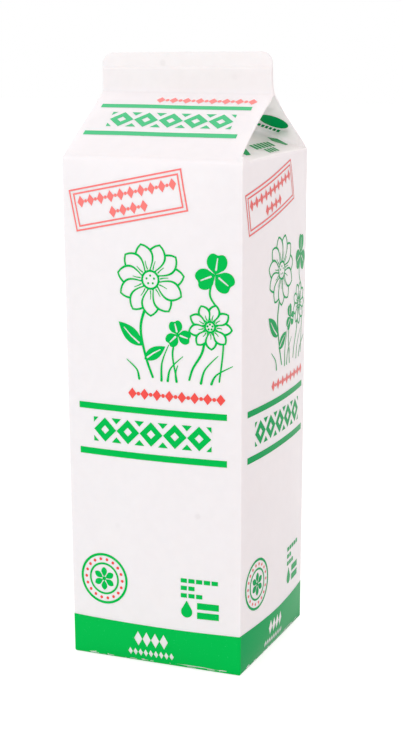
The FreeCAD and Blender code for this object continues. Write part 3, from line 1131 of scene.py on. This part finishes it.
def background_share(tree):
    """1 for rays that show the background: from the camera, in reflections and through clear things."""
    path = add_node(tree, "LightPath", {})
    share = path["Is Camera Ray"]
    for kind in ("Is Glossy Ray", "Is Transmission Ray"):
        share = add_node(tree, "Math", {0: share, 1: path[kind]}, operation="MAXIMUM")[0]
    return share


def lit_and_shown(tree, lit, shown, end):
    """End a tree with one shader that lights the carton and another that shows as the background."""
    mix = add_node(tree, "MixShader", {0: background_share(tree), 1: lit, 2: shown})
    set_inputs(tree, tree.nodes[end], {"Surface": mix[0]})


def floor_material():
    """A pale matt floor. Where it shows it also glows, so it is white but keeps shadows."""
    lit_tone, shown_tone, glow = 0.8, 0.6, 0.66
    material, tree, shader = new_material("pale_floor")
    tree.nodes.remove(shader)
    lit = add_node(tree, "BsdfDiffuse", {"Color": grey(lit_tone)})
    matt = add_node(tree, "BsdfDiffuse", {"Color": grey(shown_tone)})
    shown = add_node(tree, "AddShader", {0: matt[0], 1: add_node(tree, "Emission", {"Strength": glow})[0]})
    lit_and_shown(tree, lit[0], shown[0], "Material Output")
    return material


# --- the studio
FLOOR_HALF = 4000  # half the floor's width
FLOOR_DROP = 0.2  # the floor lies this far under the carton's rim
CAMERA_WAY = (22.468, 16.227)  # azimuth and elevation in degrees, from the front
CAMERA_ROLL = -0.1725  # degrees
CAMERA_PLACE = (4.43, 59.53, 660.78)  # to the right, up and back, in the camera's own directions
SENSOR_HEIGHT = 36.0
FOCAL_LENGTH = 77.45
LENS_SHIFT = 0.1497  # the photo's optical centre lies off its middle by this share of its height


def way_to(azimuth, elevation):
    """The direction at degrees to the right of the front, and at degrees above level."""
    a, e = math.radians(azimuth), math.radians(elevation)
    return Vector((math.sin(a) * math.cos(e), -math.cos(a) * math.cos(e), math.sin(e)))


def make_floor():
    """A floor that is part of the studio, not of the carton."""
    data = bpy.data.meshes.new("floor")
    reach = FLOOR_HALF * MM
    data.from_pydata([(x, y, 0) for x, y in box_outline(-reach, -reach, reach, reach)], [], [(0, 1, 2, 3)])
    data.materials.append(floor_material())
    floor = add_object("floor", data)
    floor.location.z = -FLOOR_DROP * MM


def make_world(strength):
    """Even light from all round. The background itself is white."""
    world = bpy.data.worlds.new("studio")
    bpy.context.scene.world = world
    world.use_nodes = True
    tree = world.node_tree
    light = tree.nodes["Background"]
    set_inputs(tree, light, {"Color": WHITE, "Strength": strength})
    shown = add_node(tree, "Background", {"Color": WHITE})
    lit_and_shown(tree, light.outputs[0], shown[0], "World Output")


def add_softbox(name, azimuth, elevation, distance, size, power, colour=(1, 1, 1)):
    """A square lamp that looks at the carton's middle, in metres and watts."""
    data = bpy.data.lights.new(name, "AREA")
    data.size = size
    data.energy = power
    data.color = colour
    lamp = add_object(name, data)
    away = way_to(azimuth, elevation)
    lamp.location = Vector((0, 0, TOP / 2 * MM)) + away * distance
    lamp.rotation_euler = away.to_track_quat("Z", "Y").to_euler()


def make_camera():
    """The photograph's view: from the front and a little to the right, looking down."""
    back = way_to(*CAMERA_WAY)
    level = way_to(CAMERA_WAY[0] + 90, 0)
    raised = back.cross(level)
    roll = math.radians(CAMERA_ROLL)
    right = math.cos(roll) * level + math.sin(roll) * raised
    up = math.cos(roll) * raised - math.sin(roll) * level
    data = bpy.data.cameras.new("camera")
    data.sensor_fit = "VERTICAL"
    data.sensor_height = SENSOR_HEIGHT
    data.lens = FOCAL_LENGTH
    data.shift_y = LENS_SHIFT
    camera = add_object("camera", data)
    aside, above, behind = CAMERA_PLACE
    place = (right * aside + up * above + back * behind) * MM
    camera.matrix_world = Matrix.Translation(place) @ Matrix((right, up, back)).transposed().to_4x4()
    bpy.context.scene.camera = camera


# --- the dressed carton
outer = board_material("coated_board", srgb(242, 240, 242), srgb(244, 242, 244), 1.0)
# Painted light: the gussets' board is made lighter and scatters further, to lift the roof's shade in them.
gusset_painted_light = board_material("gusset_board_painted_light", srgb(254, 253, 252), srgb(255, 254, 253), 7.0)
board = board_object(outer, gusset_painted_light)
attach(board, "root")
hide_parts("carton")

inks = {name: ink_material(f"ink_{name}", srgb(*full), srgb(*thin))
        for name, (full, thin) in INK_COLOURS.items()}
for sheet in print_objects(inks):
    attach(sheet, "root")

make_floor()
make_world(0.9)
add_softbox("key", -24, 14, 2.2, 1.3, 9.3)
add_softbox("fill", 75, 42, 2.0, 1.4, 4.6, (1.0, 0.38, 0.36))
make_camera()
